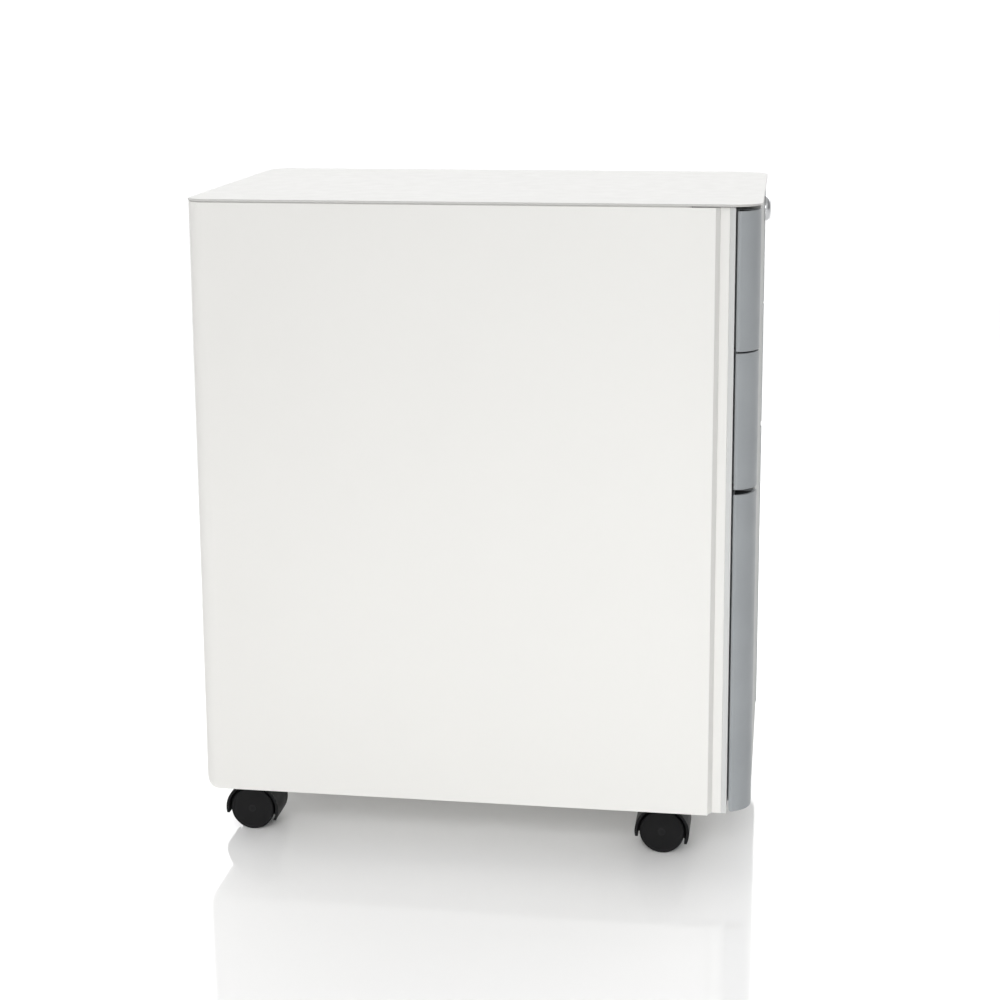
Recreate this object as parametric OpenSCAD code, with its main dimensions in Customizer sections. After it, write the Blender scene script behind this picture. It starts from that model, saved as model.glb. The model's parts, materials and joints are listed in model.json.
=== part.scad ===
// Slim mobile pedestal: a rolling steel filing cabinet with two box drawers and one file drawer.
// Millimetres. +Z is up, the drawers open towards -Y, and the origin is on the floor under the
// middle of the cabinet's overall box.

/* [Overall] */
// Width of the top plate, the widest piece
cabinet_w = 300; // [290:1:340]
// Depth of the side panels, from their front ends to the back
shell_depth = 453; // [450:1:480]
// Height of the side panels
shell_h = 529.2; // [528:0.1:545]
// Height of the side panels' bottom edges above the floor
floor_gap = 52; // [52:0.5:56]
// Distance the top plate reaches forward of the side panels
front_reach = 38; // [38:0.5:42]
// Radius of the cabinet's two upright rear corners
rear_radius = 18; // [10:1:24]
// Radius of the side panels' lower rear corners, seen from the side
heel_radius = 12; // [4:1:14]
// Radius of the top plate's front corners
front_radius = 25; // [25:1:27]

/* [Sheet metal] */
// Thickness of the painted carcass sheet
sheet = 1; // [0.8:0.1:1.2]
// Thickness of folded posts, rails, base and slides
frame_sheet = 1.2; // [1:0.1:1.4]
// Thickness of the top plate
plate_t = 2; // [1.5:0.1:3]
// Shadow gap between the top plate and the side panels
shadow_gap = 0.8; // [0.5:0.1:1.5]

/* [Drawer fronts] */
// Height of the lowest front's bottom edge above the side panels' bottom edges
front_base = 4; // [3:0.1:5]
// Height of the file drawer's front
file_front_h = 282.6; // [280:0.1:283]
// Gap between the file drawer's front and the middle one
low_gap = 4.4; // [3:0.1:5]
// Height of the middle drawer's front
middle_front_h = 116.5; // [115:0.1:117]
// Gap between the middle front and the top one
high_gap = 1.5; // [1:0.1:2]
// Height of the top drawer's front
top_front_h = 117.3; // [116:0.1:118]
// Wall thickness of the grip strips
grip_wall = 2.8; // [2.4:0.1:3.2]
// Distance the steel skin lies behind the grips' front line
skin_recess = 0.5; // [0.5:0.5:3]

/* [Drawers] */
// Half the clear opening between the front posts
half_opening = 130; // [128:1:131]
// Space that a telescopic slide takes at each side of a drawer
slide_gap = 12.7; // [12.7:0.1:13]
// Length of each drawer tray
tray_len = 425; // [400:5:425]

/* [Lock] */
// Sideways place of the lock from the middle of the cabinet
lock_x = 90; // [60:5:90]
// Height of the lock above the bottom of the side panels
lock_rise = 503.3; // [502:0.1:505]
// Outer diameter of the lock's head
lock_d = 24; // [20:1:26]
// Distance the lock stands forward of the top plate
lock_proud = 4; // [2:0.5:6]
// Radius at which the cam's pin turns
cam_throw = 8; // [6:0.5:8]

/* [Casters] */
// Diameter of a caster wheel
wheel_d = 40; // [36:1:42]
// Thickness of one of the twin wheels
wheel_w = 10.6; // [9:0.1:11]
// Distance of each swivel axis from the side of the cabinet
caster_inset = 50; // [45:1:60]
// Distance of the front swivel axes behind the side panels' front ends
caster_front = 29.5; // [28:0.5:60]
// Distance of the rear swivel axes in front of the cabinet's back
caster_rear = 48; // [45:0.5:70]
// Distance that each axle trails behind its swivel axis
caster_trail = 12; // [10:1:14]

/* [Hidden] */
$fn = 64;

// Painted steel, painted fronts, grey plastic, black plastic, plated steel and chrome
white = [0.92, 0.92, 0.90];
silver = [0.76, 0.77, 0.76];
grey = [0.60, 0.62, 0.63];
black = [0.16, 0.16, 0.17];
zinc = [0.72, 0.74, 0.76];
chrome = [0.82, 0.83, 0.85];

// A little extra length for cuts, so that no cut ends on a face
over = 1;

// Main places
plate_side_over = 0.5;
half_w = cabinet_w / 2;
depth = shell_depth + front_reach + lock_proud;
rear_y = depth / 2;
shell_half = half_w - plate_side_over;
shell_rear_y = rear_y - plate_side_over;
shell_front_y = rear_y - shell_depth;
shell_top_z = floor_gap + shell_h;
plate_z = shell_top_z + shadow_gap;
inner_half = shell_half - sheet;
inner_rear_y = shell_rear_y - sheet;

// Y of a place that lies d in front of the side panels' front ends
function ahead(d) = shell_front_y - d;
// Z of a place above the side panels' bottom edges
function up(h) = floor_gap + h;

// Front of the carcass: posts set in from the side panels, forming the finger channel
post_front = 11.3;
post_jog = [5.5, 3.3];
post_face_half = shell_half - post_jog[0];
post_back = 20;
post_z = up(0.6);

// Drawer fronts, in front of the posts: the bottom and top of each, above the side panels' bottoms
file_front = [front_base, front_base + file_front_h];
middle_front = [file_front[1] + low_gap, file_front[1] + low_gap + middle_front_h];
top_front = [middle_front[1] + high_gap, middle_front[1] + high_gap + top_front_h];
pan_back = 11.6;
pan_front = 16;
pan_half = post_face_half - 1;
grip_line = 36.5;
grip_back = 18.5;
grip_radius = front_radius - 1;
grip_centre = [half_w - front_radius - 0.5, ahead(grip_line - grip_radius)];
grip_flange = 2.5;
skin_half = grip_centre[0] - grip_flange;
skin_front = grip_line - skin_recess;

// Drawer trays and slides
tray_half = half_opening - slide_gap;
tray_sheet = 1;
weld_seam = 0.02;
tray_front = pan_front - sheet;
top_tray = [416, 488];
middle_tray = [298, 398];
file_tray = [12, 262];
top_slide_z = 450;
middle_slide_z = 335;
file_slide_z = 130;
box_slide_h = 35;
file_slide_h = 45;
outer_slide_len = 420;
inner_slide_len = 400;
race = 2;

// Central lock: the bar rises, and its lugs step in front of the drawers' catches
lug_h = 6;
lug_rest = [471, 360, 170];
catch_above_lug = 3;
catch_h = 8;
bar_back = 22;
bar_size = [3, 12];
bar_x = half_opening + 1.5;
lock_z = up(lock_rise);
barrel_d = 19;
plug_d = 11;
plug_clear = 0.1;
cam_pin_d = 4.4;
cam_y = ahead(-17);
yoke_slot_clear = 0.5;
cam_rest_angle = -45;
pin_rest = [lock_x + cam_throw * cos(cam_rest_angle), lock_z + cam_throw * sin(cam_rest_angle)];
rail_z = up(492.4);
rail_back = 14;

// Base and casters
base_z = up(2);
bottom_rail_h = 6.8;
base_top = base_z + frame_sheet;
wheel_r = wheel_d / 2;
web_half = 6;
wheel_gap = 0.6;
axle_d = 5;
axle_clear = 0.1;
stem_pin_d = 7;
stem_clear = 0.1;
stem_thread_d = 8;
hood_outer_r = wheel_r + 4.3;
hood_inner_r = wheel_r + 2;
hood_half = web_half + wheel_gap + wheel_w + 0.8;
hood_top_z = 50;
stem_floor_z = 27.5;
caster_x = half_w - caster_inset;
caster_front_y = shell_front_y + caster_front;
caster_rear_y = rear_y - caster_rear;

// ---------------------------------------------------------------- helpers

// A box between two opposite corners
module block(lo, hi) {
    translate(lo) cube(hi - lo);
}

// Its child, and the child's mirror image on the other side of the cabinet
module both_sides() {
    children();
    mirror([1, 0, 0]) children();
}

// A cylinder that lies along Y, from y0 to y1
module rod_y(x, z, d, y0, y1) {
    translate([x, y1, z]) rotate([90, 0, 0]) cylinder(d = d, h = y1 - y0);
}

// A cylinder that lies along X, from x0 to x1
module rod_x(y, z, r, x0, x1) {
    translate([x0, y, z]) rotate([0, 90, 0]) cylinder(r = r, h = x1 - x0);
}

// Plan of the carcass with rounded rear corners and an open, square front
module shell_plan(half, y_front, y_rear, r) {
    translate([-half, y_front]) square([2 * half, y_rear - r - y_front]);
    translate([-half + r, y_rear - r - over]) square([2 * (half - r), r + over]);
    for (side = [-1, 1]) translate([side * (half - r), y_rear - r]) circle(r = r);
}

// ---------------------------------------------------------------- carcass

// What lies outside the rounded lower rear edge of the carcass
module heel_cut() {
    r = heel_radius;
    y = shell_rear_y - r;
    z = floor_gap + r;
    difference() {
        block([-cabinet_w, y, floor_gap - over], [cabinet_w, shell_rear_y + over, z]);
        rod_x(y, z, r, -cabinet_w - over, cabinet_w + over);
    }
}

// Sides and back in one wrap of painted sheet
module outer_shell() {
    color(white) difference() {
        translate([0, 0, floor_gap]) linear_extrude(shell_h) difference() {
            shell_plan(shell_half, shell_front_y, shell_rear_y, rear_radius - plate_side_over);
            shell_plan(inner_half, shell_front_y - over, inner_rear_y,
                       rear_radius - plate_side_over - sheet);
        }
        heel_cut();
    }
}

// Plan of the top plate: small radii behind, large ones in front
module plate_plan() {
    front = ahead(front_reach);
    r = front_radius;
    translate([-half_w, front + r])
        square([cabinet_w, rear_y - rear_radius - front - r]);
    translate([-half_w + r, front]) square([cabinet_w - 2 * r, r + over]);
    translate([-half_w + rear_radius, rear_y - rear_radius - over])
        square([cabinet_w - 2 * rear_radius, rear_radius + over]);
    for (side = [-1, 1]) {
        translate([side * (half_w - r), front + r]) circle(r = r);
        translate([side * (half_w - rear_radius), rear_y - rear_radius]) circle(r = rear_radius);
    }
}

// Top plate with a skirt that drops inside the shell
module top_plate() {
    skirt_h = 15;
    skirt_r = rear_radius - plate_side_over - sheet;
    color(white) {
        translate([0, 0, plate_z]) linear_extrude(plate_t) plate_plan();
        translate([0, 0, plate_z - skirt_h]) linear_extrude(skirt_h + over / 2) difference() {
            shell_plan(inner_half, ahead(-post_back - over), inner_rear_y, skirt_r);
            shell_plan(inner_half - sheet, ahead(-post_back + over), inner_rear_y - sheet,
                       skirt_r - sheet);
        }
    }
}

// Strips welded inside the side panels' front ends and folded inwards to meet the posts
module edge_returns() {
    t = frame_sheet;
    weld = 12;
    color(white) translate([0, 0, post_z]) linear_extrude(shell_top_z - post_z) both_sides()
        polygon([
            [inner_half, ahead(-weld)], [inner_half, ahead(0)],
            [post_face_half, ahead(post_jog[1])], [post_face_half - t, ahead(post_jog[1])],
            [inner_half - t, ahead(-t / 2)], [inner_half - t, ahead(-weld)]
        ]);
}

// Front posts: the finger channel's inner face, the front face, and the flange for the slides
module front_posts() {
    t = frame_sheet;
    x_face = post_face_half;
    color(white) translate([0, 0, post_z]) linear_extrude(shell_top_z - post_z) both_sides()
        polygon([
            [x_face, ahead(post_jog[1])], [x_face, ahead(post_front)],
            [half_opening, ahead(post_front)], [half_opening, ahead(-post_back)],
            [half_opening + t, ahead(-post_back)], [half_opening + t, ahead(post_front - t)],
            [x_face - t, ahead(post_front - t)], [x_face - t, ahead(post_jog[1])]
        ]);
}

// Silver strips on the posts that hide the sides of the drawers' pans
module post_lips() {
    lip_t = 0.7;
    color(silver) both_sides()
        block([post_face_half - lip_t, ahead(pan_front), post_z],
              [post_face_half, ahead(post_front), shell_top_z]);
}

// Angle uprights that carry the back ends of the slides
module rear_uprights() {
    y0 = ahead(-395);
    y1 = ahead(-430);
    z1 = shell_top_z - 16;
    color(white) both_sides() {
        block([half_opening, y0, base_top], [half_opening + frame_sheet, y1, z1]);
        block([half_opening, y1 - frame_sheet, base_top], [inner_half, y1, z1]);
    }
}

// Floor of the carcass, turned up behind to meet the back and drilled for the caster stems
module base_pan() {
    r = rear_radius - plate_side_over - sheet;
    turn = heel_radius - 2;
    y = inner_rear_y - turn;
    z = base_z + turn;
    color(white) difference() {
        union() {
            translate([0, 0, base_z]) linear_extrude(frame_sheet) {
                translate([-inner_half, ahead(-post_back - over)])
                    square([2 * inner_half, y - ahead(-post_back - over)]);
                translate([-half_opening, ahead(post_front)])
                    square([2 * half_opening, post_front + post_back + 2 * over]);
            }
            intersection() {
                difference() {
                    rod_x(y, z, turn, -inner_half, inner_half);
                    rod_x(y, z, turn - frame_sheet, -half_w, half_w);
                }
                block([-half_w, y - over / 2, base_z - over], [half_w, rear_y, z]);
                translate([0, 0, base_z - over]) linear_extrude(turn + 2 * over)
                    shell_plan(inner_half, shell_front_y, inner_rear_y, r);
            }
        }
        for (p = caster_places()) translate([p[0], p[1], base_z - over])
            cylinder(d = stem_thread_d, h = frame_sheet + 2 * over);
    }
}
function caster_places() = [for (x = [-caster_x, caster_x])
                            for (y = [caster_front_y, caster_rear_y]) [x, y]];

// Channel between the posts above the top drawer's tray; the lock sits in its front wall
module front_top_rail() {
    t = frame_sheet;
    z1 = shell_top_z;
    color(white) difference() {
        union() {
            block([-half_opening, ahead(post_front), rail_z], [half_opening, ahead(post_front - t), z1]);
            block([-half_opening, ahead(post_front), rail_z], [half_opening, ahead(-rail_back), rail_z + t]);
            block([-half_opening, ahead(post_front), z1 - t], [half_opening, ahead(-rail_back), z1]);
        }
        rod_y(lock_x, lock_z, barrel_d, ahead(post_front + over), ahead(post_front - t - over));
    }
}

// Low channel between the posts at floor level
module front_bottom_rail() {
    color(white) {
        block([-half_opening, ahead(post_front), base_top],
              [half_opening, ahead(post_front - frame_sheet), base_top + bottom_rail_h]);
        block([-half_opening, ahead(post_front), base_top + bottom_rail_h - frame_sheet],
              [half_opening, ahead(-8), base_top + bottom_rail_h]);
    }
}

// Steel counterweight behind the file drawer
module ballast_block() {
    color([0.35, 0.35, 0.36])
        block([-118, ahead(-412.5), base_top], [118, ahead(-440.5), base_top + 116]);
}

// ---------------------------------------------------------------- slides

// One C-shaped slide member on the right: a web from web_x to web_x + t, and two flanges to tip_x
module slide_member(web_x, tip_x, h, z, y0, y1) {
    t = frame_sheet;
    lo = min(web_x, tip_x);
    hi = max(web_x + t, tip_x);
    block([web_x, y0, z - h / 2], [web_x + t, y1, z + h / 2]);
    for (s = [-1, 1]) {
        z0 = s > 0 ? z + h / 2 - t : z - h / 2;
        block([lo, y0, z0], [hi, y1, z0 + t]);
    }
}

module slide_outer(h, z) {
    both_sides() slide_member(half_opening - frame_sheet, half_opening - 8.5, h, up(z),
                              ahead(8), ahead(8 - outer_slide_len));
}
module cabinet_slide_members() {
    color(zinc) {
        slide_outer(box_slide_h, top_slide_z);
        slide_outer(box_slide_h, middle_slide_z);
        slide_outer(file_slide_h, file_slide_z);
    }
}
module slide_middle(h, z) {
    color(zinc) both_sides()
        slide_member(half_opening - 4.2, half_opening - 10.7, h - 2 * (frame_sheet + race), up(z),
                     ahead(7), ahead(7 - inner_slide_len));
}
module slide_inner(h, z) {
    color(zinc) both_sides()
        slide_member(tray_half, tray_half + 7.3, h - 4 * (frame_sheet + race), up(z),
                     ahead(8), ahead(8 - inner_slide_len));
}
module top_slide_middle() slide_middle(box_slide_h, top_slide_z);
module top_slide_inner() slide_inner(box_slide_h, top_slide_z);
module middle_slide_middle() slide_middle(box_slide_h, middle_slide_z);
module middle_slide_inner() slide_inner(box_slide_h, middle_slide_z);
module file_slide_middle() slide_middle(file_slide_h, file_slide_z);
module file_slide_inner() slide_inner(file_slide_h, file_slide_z);

// ---------------------------------------------------------------- central lock

// Lock body: a head with a well rounded edge that stands through the top drawer's front, and a barrel
module lock_housing() {
    length = rail_back + front_reach + lock_proud;
    shoulder = rail_back + post_front;
    bore_d = plug_d + plug_clear;
    r = lock_d / 2;
    edge_r = 5;
    color(chrome) difference() {
        translate([lock_x, ahead(-rail_back), lock_z]) rotate([90, 0, 0]) rotate_extrude()
            polygon(concat(
                [[0, 0], [barrel_d / 2, 0], [barrel_d / 2, shoulder], [r, shoulder]],
                [for (a = [0:10:90]) [r - edge_r + edge_r * cos(a), length - edge_r + edge_r * sin(a)]],
                [[0, length]]
            ));
        rod_y(lock_x, lock_z, bore_d, ahead(front_reach + lock_proud + 2), ahead(-rail_back - over));
    }
}

// Turning plug with its key slot
module lock_plug() {
    tip = ahead(front_reach + lock_proud) + 0.6;
    color(zinc) difference() {
        rod_y(lock_x, lock_z, plug_d, tip, cam_y);
        block([lock_x - 0.9, tip - over, lock_z - 3.6], [lock_x + 0.9, tip + 8, lock_z + 3.6]);
    }
}

// Cam plate on the back of the plug, with the pin that lifts the bar
module lock_cam() {
    cam_t = 3;
    pin_y1 = ahead(-bar_back) + 3.5;
    color(zinc) {
        rod_y(lock_x, lock_z, 14, cam_y, cam_y + cam_t);
        rod_y(pin_rest[0], pin_rest[1], 8, cam_y, cam_y + cam_t);
        rod_y(pin_rest[0], pin_rest[1], cam_pin_d, cam_y + cam_t - over, pin_y1);
    }
}

// Flat bar beside the drawers: a slotted arm at the top, and a lug for each drawer
module lock_bar() {
    y0 = ahead(-bar_back);
    arm_half = 6;
    slot_half = cam_pin_d / 2 + yoke_slot_clear;
    color(zinc) {
        block([bar_x, y0, up(150)], [bar_x + bar_size[0], y0 + bar_size[1], pin_rest[1] + arm_half]);
        difference() {
            block([lock_x - 2, y0, pin_rest[1] - arm_half], [bar_x + over, y0 + 3, pin_rest[1] + arm_half]);
            block([lock_x + 1.5, y0 - over, pin_rest[1] - slot_half],
                  [lock_x + 12, y0 + 3 + over, pin_rest[1] + slot_half]);
        }
        for (z = lug_rest)
            block([tray_half + 2.2, y0, up(z)], [bar_x + over, y0 + 6, up(z) + lug_h]);
    }
}

// Closed guides that hold the bar to the side panel
module lock_bar_guides() {
    clear = 0.4;
    y0 = ahead(-bar_back);
    color(zinc) for (z = [up(230), up(430)]) difference() {
        block([bar_x - 1.4, y0 - 1.6, z], [inner_half, y0 + bar_size[1] + 2.4, z + 5]);
        block([bar_x - clear, y0 - clear, z - over],
              [bar_x + bar_size[0] + clear, y0 + bar_size[1] + clear, z + 5 + over]);
    }
}

// ---------------------------------------------------------------- drawers

// Open steel box: a front, a back, a floor and two sides with turned-in rims, welded edge to edge
module tray(z, screw_zs) {
    t = tray_sheet;
    y0 = ahead(tray_front);
    y1 = y0 + tray_len;
    side_y0 = y0 + t + weld_seam;
    side_y1 = y1 - t - weld_seam;
    floor_half = tray_half - t - weld_seam;
    lip = 6;
    color(white) {
        difference() {
            block([-tray_half, y0, up(z[0])], [tray_half, y0 + t, up(z[1])]);
            for (p = screw_places(screw_zs)) rod_y(p[0], p[1], screw_d, y0 - over, y0 + t + over);
        }
        block([-tray_half, y1 - t, up(z[0])], [tray_half, y1, up(z[1])]);
        block([-floor_half, side_y0, up(z[0])], [floor_half, side_y1, up(z[0]) + t]);
        both_sides() {
            block([tray_half - t, side_y0, up(z[0])], [tray_half, side_y1, up(z[1])]);
            block([tray_half - lip, side_y0, up(z[1]) - t], [tray_half, side_y1, up(z[1])]);
        }
    }
}

// Angle bracket on the tray's side: the lock bar's lug rises in front of it
module catch(lug) {
    z = up(lug) + lug_h + catch_above_lug;
    y = ahead(-bar_back - 8);
    color(zinc) {
        block([tray_half, y, z], [tray_half + 9, y + 3, z + catch_h]);
        block([tray_half, y, z], [tray_half + 1.5, y + 18, z + catch_h]);
    }
}
screw_d = 4;
screw_x = 60;
function screw_places(zs) = [for (x = [-screw_x, screw_x]) for (z = zs) [x, up(z)]];

// Shallow folded pan behind each front, full width
module front_pan(z, screw_zs) {
    color(silver) difference() {
        block([-pan_half, ahead(pan_front), up(z[0])], [pan_half, ahead(pan_back), up(z[1])]);
        block([-pan_half + sheet, ahead(pan_front - sheet), up(z[0]) + sheet],
              [pan_half - sheet, ahead(pan_back - over), up(z[1]) - sheet]);
        for (p = screw_places(screw_zs))
            rod_y(p[0], p[1], screw_d, ahead(pan_front + over), ahead(pan_front - sheet - over));
    }
}

// Outer steel skin between the grips, folded back to the pan on all four sides
module front_skin(z) {
    color(silver) difference() {
        block([-skin_half, ahead(skin_front), up(z[0])], [skin_half, ahead(pan_front), up(z[1])]);
        block([-skin_half + sheet, ahead(skin_front - sheet), up(z[0]) + sheet],
              [skin_half - sheet, ahead(pan_front - over), up(z[1]) - sheet]);
    }
}

// Hole that lets the top drawer's front slide off the lock's head
module lock_hole() {
    rod_y(lock_x, lock_z, lock_d + 1, ahead(skin_front + over), ahead(pan_back - over));
}

// Quarter-round grip strip: its back edge is the lip that the fingers pull
module grip(z) {
    c = grip_centre;
    r = grip_radius;
    cap = 2;
    module arc_band(r_in) {
        difference() {
            translate(c) circle(r = r, $fn = 96);
            if (r_in > 0) translate(c) circle(r = r_in, $fn = 96);
            translate([c[0] - 2 * r, c[1] - 2 * r]) square([2 * r, 4 * r]);
            translate([c[0] - over, ahead(grip_back)]) square([r + 2 * over, 2 * r]);
        }
        translate([c[0] - grip_flange, ahead(grip_line)])
            square([grip_flange, grip_line - pan_front]);
    }
    module end_cap() {
        intersection() {
            arc_band(0);
            translate([c[0] - grip_flange, ahead(grip_line)]) square([r + 10, grip_line - grip_back]);
        }
    }
    color(grey) {
        translate([0, 0, up(z[0])]) linear_extrude(z[1] - z[0]) arc_band(r - grip_wall);
        translate([0, 0, up(z[0])]) linear_extrude(cap) end_cap();
        translate([0, 0, up(z[1]) - cap]) linear_extrude(cap) end_cap();
    }
}

// Pan-head screws that hold a tray to its front pan
module front_screws(screw_zs) {
    y = ahead(tray_front) + tray_sheet;
    color(zinc) for (p = screw_places(screw_zs)) difference() {
        union() {
            rod_y(p[0], p[1], screw_d, ahead(pan_front + 4), y + over / 2);
            rod_y(p[0], p[1], 2 * screw_d, y, y + 2.4);
        }
        block([p[0] - 2.4, y + 1.4, p[1] - 0.5], [p[0] + 2.4, y + 2.4 + over, p[1] + 0.5]);
        block([p[0] - 0.5, y + 1.4, p[1] - 2.4], [p[0] + 0.5, y + 2.4 + over, p[1] + 2.4]);
    }
}

top_screws = [430, 472];
middle_screws = [315, 380];
file_screws = [60, 210];

module top_drawer_tray() tray(top_tray, top_screws);
module top_drawer_catch() catch(lug_rest[0]);
module top_drawer_front_pan() difference() { front_pan(top_front, top_screws); lock_hole(); }
module top_drawer_front_skin() difference() { front_skin(top_front); lock_hole(); }
module top_drawer_grips() both_sides() grip(top_front);
module top_drawer_screws() front_screws(top_screws);

module middle_drawer_tray() tray(middle_tray, middle_screws);
module middle_drawer_catch() catch(lug_rest[1]);
module middle_drawer_front_pan() front_pan(middle_front, middle_screws);
module middle_drawer_front_skin() front_skin(middle_front);
module middle_drawer_grips() both_sides() grip(middle_front);
module middle_drawer_screws() front_screws(middle_screws);

module file_drawer_tray() tray(file_tray, file_screws);
module file_drawer_catch() catch(lug_rest[2]);
module file_drawer_front_pan() front_pan(file_front, file_screws);
module file_drawer_front_skin() front_skin(file_front);
module file_drawer_grips() both_sides() grip(file_front);
module file_drawer_screws() front_screws(file_screws);

// Moulded insert with a long pen bay and three small bays
module pencil_tray() {
    t = 2;
    gap = 0.5;
    half = tray_half - tray_sheet - gap;
    y0 = ahead(tray_front) + tray_sheet + 3;
    len = 120;
    z0 = up(top_tray[0]) + tray_sheet;
    pen_bay = 48;
    color(black) difference() {
        block([-half, y0, z0], [half, y0 + len, z0 + 22]);
        block([-half + t, y0 + t, z0 + t], [half - t, y0 + pen_bay, z0 + 22 + over]);
        for (i = [0:2]) {
            bay = (2 * half - 4 * t) / 3;
            x = -half + t + i * (bay + t);
            block([x, y0 + pen_bay + t, z0 + t], [x + bay, y0 + len - t, z0 + 22 + over]);
        }
    }
}

// Two cross rails, an A4 folder's length apart, that rest on the file tray's rims
module hanging_file_rails() {
    z = up(file_tray[1]);
    color(zinc) for (d = [30, 360]) {
        block([-tray_half, ahead(-d), z], [tray_half, ahead(-d - 14), z + 1.5]);
        block([-tray_half + 6.5, ahead(-d), z - 14], [tray_half - 6.5, ahead(-d - 1.5), z + 0.5]);
    }
}

// ---------------------------------------------------------------- casters

// Stems: a plain pin that the caster swivels on, a collar, a thread through the base, and a nut
module caster_stems() {
    color(zinc) for (p = caster_places()) translate([p[0], p[1], 0]) {
        translate([0, 0, stem_floor_z]) cylinder(d = stem_pin_d, h = base_z - stem_floor_z - 1);
        translate([0, 0, hood_top_z + 0.5]) cylinder(d = 14, h = base_z - hood_top_z - 0.5);
        translate([0, 0, base_z - over]) cylinder(d = stem_thread_d, h = 7.5 + over);
        translate([0, 0, base_top]) cylinder(d = 15, h = 4.5, $fn = 6);
    }
}

// Moulded hood: a fender over both wheels, the web between them, and the stem boss
module hood() {
    axle = [caster_trail, wheel_r];
    skirt_front = 10;
    skirt_back = 5;
    color(black) difference() {
        union() {
            difference() {
                rod_x(axle[0], axle[1], hood_outer_r, -hood_half, hood_half);
                for (s = [-1, 1]) rod_x(axle[0], axle[1], hood_inner_r,
                                        s > 0 ? web_half : -hood_half - over,
                                        s > 0 ? hood_half + over : -web_half);
                // Open below: the fender's skirt is longer at the swivel end
                block([-hood_half - over, axle[0] - 40, -wheel_r],
                      [hood_half + over, axle[0], axle[1] - skirt_front]);
                block([-hood_half - over, axle[0] - over, -wheel_r],
                      [hood_half + over, axle[0] + 40, axle[1] - skirt_back]);
            }
            rod_x(axle[0], axle[1], 8, -web_half, web_half);
            translate([0, 0, 41]) cylinder(d = 17, h = hood_top_z - 41);
        }
        translate([0, 0, stem_floor_z - 0.5]) cylinder(d = stem_pin_d + stem_clear, h = 40);
        rod_x(axle[0], axle[1], axle_d / 2, -web_half - over, web_half + over);
    }
}

module axle() {
    half = web_half + wheel_gap + wheel_w - 2.6;
    color(zinc) rod_x(caster_trail, wheel_r, axle_d / 2, -half, half);
}

// One wheel: rounded tread, flat outer face inside a low rim, and a blind bore on the inside
module wheel() {
    r = wheel_r;
    w = wheel_w;
    edge = 1.2;
    color(black) translate([web_half + wheel_gap, caster_trail, wheel_r]) rotate([0, 90, 0])
        difference() {
            rotate_extrude() polygon([
                [0, 0], [r - edge, 0], [r, edge], [r, w - edge], [r - edge, w],
                [r - 2.4, w], [r - 2.8, w - 0.3], [0, w - 0.3]
            ]);
            translate([0, 0, -over]) cylinder(d = axle_d + axle_clear, h = w - 2 + over);
        }
}

module at_caster(x, y) {
    translate([x, y, 0]) children();
}

module caster_front_left_hood() at_caster(-caster_x, caster_front_y) hood();
module caster_front_left_axle() at_caster(-caster_x, caster_front_y) axle();
module caster_front_left_wheel_outer() at_caster(-caster_x, caster_front_y) mirror([1, 0, 0]) wheel();
module caster_front_left_wheel_inner() at_caster(-caster_x, caster_front_y) wheel();

module caster_front_right_hood() at_caster(caster_x, caster_front_y) hood();
module caster_front_right_axle() at_caster(caster_x, caster_front_y) axle();
module caster_front_right_wheel_outer() at_caster(caster_x, caster_front_y) wheel();
module caster_front_right_wheel_inner() at_caster(caster_x, caster_front_y) mirror([1, 0, 0]) wheel();

module caster_rear_left_hood() at_caster(-caster_x, caster_rear_y) hood();
module caster_rear_left_axle() at_caster(-caster_x, caster_rear_y) axle();
module caster_rear_left_wheel_outer() at_caster(-caster_x, caster_rear_y) mirror([1, 0, 0]) wheel();
module caster_rear_left_wheel_inner() at_caster(-caster_x, caster_rear_y) wheel();

module caster_rear_right_hood() at_caster(caster_x, caster_rear_y) hood();
module caster_rear_right_axle() at_caster(caster_x, caster_rear_y) axle();
module caster_rear_right_wheel_outer() at_caster(caster_x, caster_rear_y) wheel();
module caster_rear_right_wheel_inner() at_caster(caster_x, caster_rear_y) mirror([1, 0, 0]) wheel();

// ---------------------------------------------------------------- nodes

outer_shell();
top_plate();
edge_returns();
front_posts();
post_lips();
rear_uprights();
base_pan();
front_top_rail();
front_bottom_rail();
ballast_block();
cabinet_slide_members();
lock_bar_guides();
caster_stems();
lock_housing();
lock_plug();
lock_cam();
lock_bar();
top_drawer_tray();
top_drawer_catch();
top_drawer_front_pan();
top_drawer_front_skin();
top_drawer_grips();
top_drawer_screws();
top_slide_inner();
top_slide_middle();
pencil_tray();
middle_drawer_tray();
middle_drawer_catch();
middle_drawer_front_pan();
middle_drawer_front_skin();
middle_drawer_grips();
middle_drawer_screws();
middle_slide_inner();
middle_slide_middle();
file_drawer_tray();
file_drawer_catch();
file_drawer_front_pan();
file_drawer_front_skin();
file_drawer_grips();
file_drawer_screws();
file_slide_inner();
file_slide_middle();
hanging_file_rails();
caster_front_left_hood();
caster_front_left_axle();
caster_front_left_wheel_outer();
caster_front_left_wheel_inner();
caster_front_right_hood();
caster_front_right_axle();
caster_front_right_wheel_outer();
caster_front_right_wheel_inner();
caster_rear_left_hood();
caster_rear_left_axle();
caster_rear_left_wheel_outer();
caster_rear_left_wheel_inner();
caster_rear_right_hood();
caster_rear_right_axle();
caster_rear_right_wheel_outer();
caster_rear_right_wheel_inner();
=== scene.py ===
"""Slim steel mobile pedestal: the looks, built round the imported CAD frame, drawers towards -Y.

Meshes are shaped in millimetres; materials, camera, floor and lights are in metres.
"""
import bpy
import bmesh
import json
import math
from mathutils import Matrix, Vector


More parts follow.
